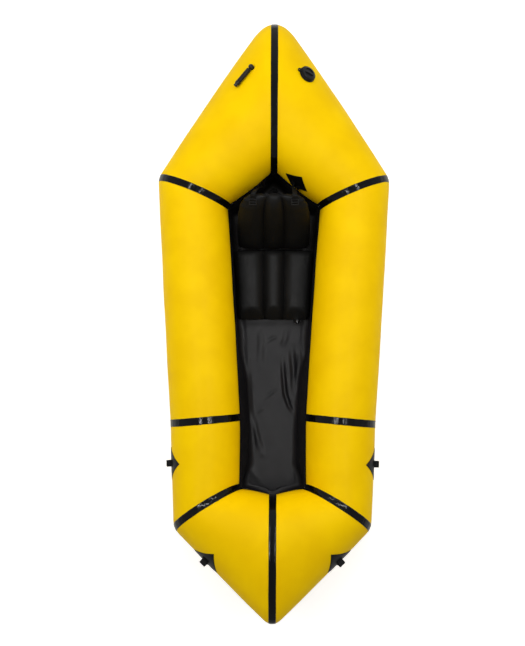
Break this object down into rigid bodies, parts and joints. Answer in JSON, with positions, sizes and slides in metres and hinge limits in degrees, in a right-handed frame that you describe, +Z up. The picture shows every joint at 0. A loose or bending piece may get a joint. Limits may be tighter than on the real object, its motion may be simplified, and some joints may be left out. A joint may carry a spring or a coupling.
{
  "type": "packraft",
  "caption": "Solo inflatable raft with a pointed bow and stern, a welded fabric air tube, a tub floor, an inflatable seat and a folding backrest.",
  "frame": {"origin": "centre of the raft's footprint, on the ground under the floor sheet", "axes": "+Z up, +Y towards the stern, where the main valve is, +X to the side with the main valve"},
  "size_m": [0.937, 2.3189, 0.3868],
  "materials": {
    "yellow_coated_fabric": "satin",
    "black_seam_tape": "gloss",
    "floor_fabric": "satin",
    "seat_fabric": "satin",
    "black_patch_fabric": "gloss",
    "black_webbing": "matt",
    "black_moulding": "satin",
    "black_rubber": "matt"
  },
  "bodies": {
    "hull": {"stern_panel_left": "yellow_coated_fabric", "stern_panel_right": "yellow_coated_fabric", "side_panel_left": "yellow_coated_fabric", "side_panel_right": "yellow_coated_fabric", "fore_panel_left": "yellow_coated_fabric", "fore_panel_right": "yellow_coated_fabric", "bow_panel_left": "yellow_coated_fabric", "bow_panel_right": "yellow_coated_fabric", "stern_seam_tape_left": "black_seam_tape", "stern_seam_tape_right": "black_seam_tape", "mid_seam_tape_left": "black_seam_tape", "mid_seam_tape_right": "black_seam_tape", "bow_seam_tape_left": "black_seam_tape", "bow_seam_tape_right": "black_seam_tape", "stern_centre_tape": "black_seam_tape", "bow_centre_tape": "black_seam_tape", "floor_seam_tape": "black_seam_tape", "floor_sheet": "floor_fabric", "seat_cushion": "seat_fabric", "seat_fold_strip": "black_seam_tape", "seat_valve_base": "black_moulding", "valve_base": "black_moulding", "mouth_tube_foot": "black_moulding", "leash_anchor_ring": "black_rubber", "leash_strap": "black_rubber", "side_patch_left": "black_patch_fabric", "side_loop_left": "black_webbing", "side_patch_right": "black_patch_fabric", "side_loop_right": "black_webbing", "bow_patch_left": "black_patch_fabric", "bow_loop_left": "black_webbing", "bow_patch_right": "black_patch_fabric", "bow_loop_right": "black_webbing", "stern_patch_left": "black_patch_fabric", "stern_loop_left": "black_webbing", "stern_patch_right": "black_patch_fabric", "stern_loop_right": "black_webbing", "backrest_strap_left": "black_webbing", "backrest_strap_right": "black_webbing"},
    "backrest": {"backrest_cushion": "seat_fabric", "backrest_valve_base": "black_moulding", "strap_buckle_left": "black_moulding", "strap_buckle_right": "black_moulding"},
    "backrest_valve_cap": {"backrest_valve_cap": "black_moulding"},
    "seat_valve_cap": {"seat_valve_cap": "black_moulding"},
    "valve_insert": {"valve_insert": "black_moulding"},
    "valve_diaphragm": {"valve_diaphragm": "black_rubber"},
    "valve_cap_ring": {"leash_cap_ring": "black_rubber"},
    "valve_cap": {"valve_cap": "black_moulding"},
    "mouth_tube": {"mouth_tube": "black_rubber"},
    "mouthpiece": {"mouthpiece": "black_moulding"}
  },
  "joints": [
    {"name": "backrest_recline", "type": "hinge", "parent": "hull", "child": "backrest", "pos_m": [0, 0.282, 0.055], "axis": [1, 0, 0], "range_deg": [0, 34], "deforming": ["backrest_strap_left", "backrest_strap_right"]},
    {"name": "backrest_valve_twist", "type": "hinge", "parent": "backrest", "child": "backrest_valve_cap", "pos_m": [0.085, 0.36873, 0.11712], "axis": [0.1185, 0.8172, -0.564], "range_deg": [0, 90]},
    {"name": "seat_valve_twist", "type": "hinge", "parent": "hull", "child": "seat_valve_cap", "pos_m": [0.098, -0.0095, 0.03], "axis": [0, -1, 0], "range_deg": [0, 90]},
    {"name": "valve_insert_lift", "type": "slide", "parent": "hull", "child": "valve_insert", "axis": [0.5177, 0.2561, 0.8163], "range_m": [0, 0.018]},
    {"name": "valve_flap_open", "type": "slide", "parent": "valve_insert", "child": "valve_diaphragm", "axis": [-0.5177, -0.2561, -0.8163], "range_m": [0, 0.0036], "stiffness_N_per_m": 100, "springref_m": -0.002},
    {"name": "valve_cap_lift", "type": "slide", "parent": "valve_insert", "child": "valve_cap_ring", "axis": [0.5177, 0.2561, 0.8163], "range_m": [0, 0.006], "deforming": ["leash_strap"]},
    {"name": "valve_cap_turn", "type": "hinge", "parent": "valve_cap_ring", "child": "valve_cap", "pos_m": [0.12681, 0.91661, 0.33018], "axis": [0.5177, 0.2561, 0.8163], "range_deg": [0, 720]},
    {"name": "mouth_tube_lift", "type": "hinge", "parent": "hull", "child": "mouth_tube", "pos_m": [-0.09055, 0.93517, 0.35919], "axis": [-0.6054, 0.6385, -0.4752], "range_deg": [0, 80]},
    {"name": "mouthpiece_twist", "type": "hinge", "parent": "mouth_tube", "child": "mouthpiece", "pos_m": [-0.09055, 0.93517, 0.35919], "axis": [-0.6533, -0.7397, -0.1614], "range_deg": [0, 90]}
  ],
  "couplings": [
    {"joint": "valve_cap_turn", "follows": "valve_cap_lift", "rad_per_m": 2094}
  ]
}
